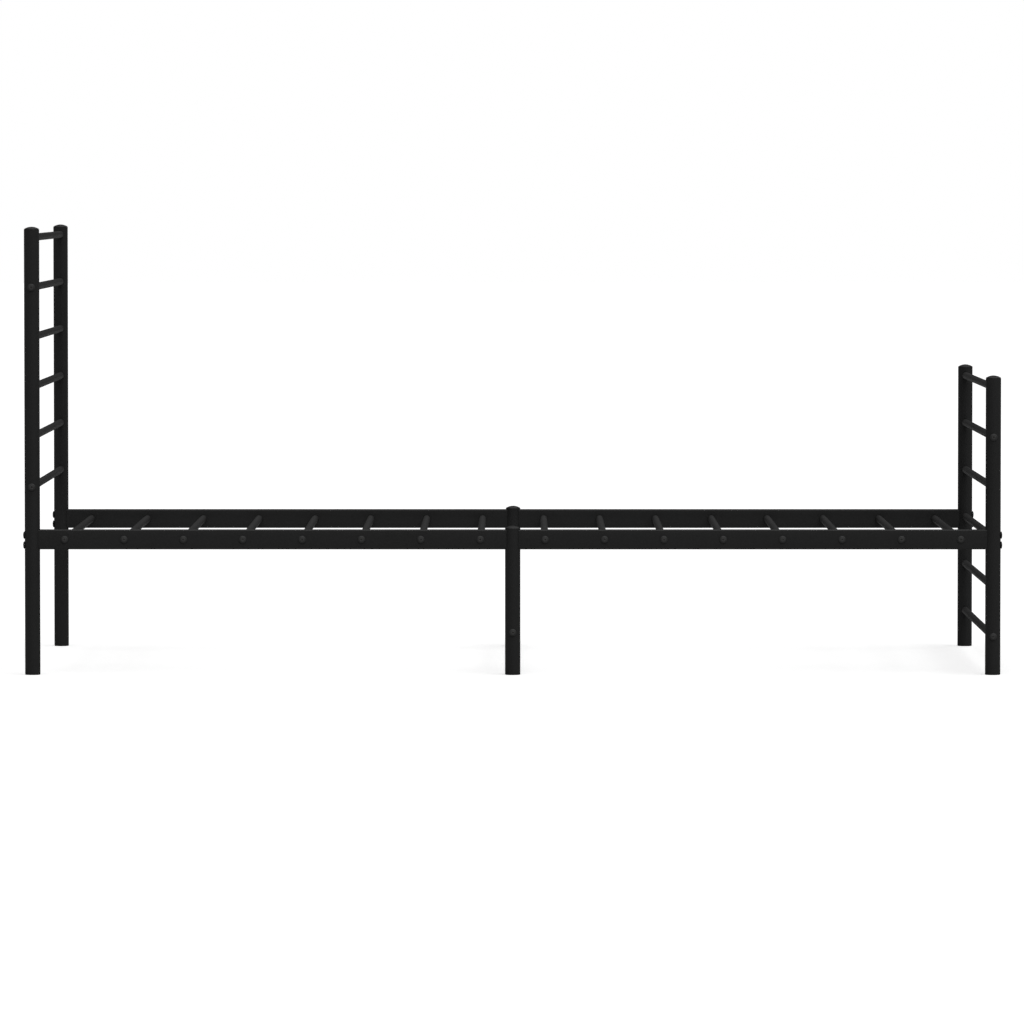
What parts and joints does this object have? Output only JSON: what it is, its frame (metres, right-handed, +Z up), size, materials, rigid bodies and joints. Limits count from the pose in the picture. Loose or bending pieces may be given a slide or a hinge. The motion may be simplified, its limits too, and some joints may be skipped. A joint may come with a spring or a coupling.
{
  "type": "bed frame",
  "caption": "Black tube bed frame with a high ladder headboard, a lower ladder footboard, box-tube side rails, round cross slats and middle support legs joined by a crossbar.",
  "frame": {"origin": "on the floor under the middle of the bed", "axes": "+X from the headboard to the footboard, +Y to the left of someone lying in the bed, +Z up"},
  "size_m": [1.979, 0.9626, 0.9055],
  "materials": {
    "powder_coat": "satin",
    "black_plastic": "matte",
    "black_steel": "satin"
  },
  "bodies": {
    "root": {"footboard_bolt_left_lower": "black_steel", "footboard_bolt_left_upper": "black_steel", "footboard_bolt_right_lower": "black_steel", "footboard_bolt_right_upper": "black_steel", "footboard_post_cap_left": "black_plastic", "footboard_post_cap_right": "black_plastic", "footboard_post_glide_left": "black_plastic", "footboard_post_glide_right": "black_plastic", "footboard_post_left": "powder_coat", "footboard_post_right": "powder_coat", "footboard_rung_1": "powder_coat", "footboard_rung_2": "powder_coat", "footboard_rung_3": "powder_coat", "footboard_rung_4": "powder_coat", "footboard_rung_5": "powder_coat", "footboard_rung_6": "powder_coat", "headboard_bolt_left_lower": "black_steel", "headboard_bolt_left_upper": "black_steel", "headboard_bolt_right_lower": "black_steel", "headboard_bolt_right_upper": "black_steel", "headboard_post_cap_left": "black_plastic", "headboard_post_cap_right": "black_plastic", "headboard_post_glide_left": "black_plastic", "headboard_post_glide_right": "black_plastic", "headboard_post_left": "powder_coat", "headboard_post_right": "powder_coat", "headboard_rung_1": "powder_coat", "headboard_rung_2": "powder_coat", "headboard_rung_3": "powder_coat", "headboard_rung_4": "powder_coat", "headboard_rung_5": "powder_coat", "headboard_rung_6": "powder_coat", "middle_leg_cap_left": "black_plastic", "middle_leg_cap_right": "black_plastic", "middle_leg_crossbar": "powder_coat", "middle_leg_glide_left": "black_plastic", "middle_leg_glide_right": "black_plastic", "middle_leg_left": "powder_coat", "middle_leg_right": "powder_coat", "side_rail_foot_left": "powder_coat", "side_rail_foot_right": "powder_coat", "side_rail_head_left": "powder_coat", "side_rail_head_right": "powder_coat", "slat_foot_1": "powder_coat", "slat_foot_2": "powder_coat", "slat_foot_3": "powder_coat", "slat_foot_4": "powder_coat", "slat_foot_5": "powder_coat", "slat_foot_6": "powder_coat", "slat_foot_7": "powder_coat", "slat_foot_8": "powder_coat", "slat_head_1": "powder_coat", "slat_head_2": "powder_coat", "slat_head_3": "powder_coat", "slat_head_4": "powder_coat", "slat_head_5": "powder_coat", "slat_head_6": "powder_coat", "slat_head_7": "powder_coat", "slat_head_8": "powder_coat"}
  },
  "joints": []
}
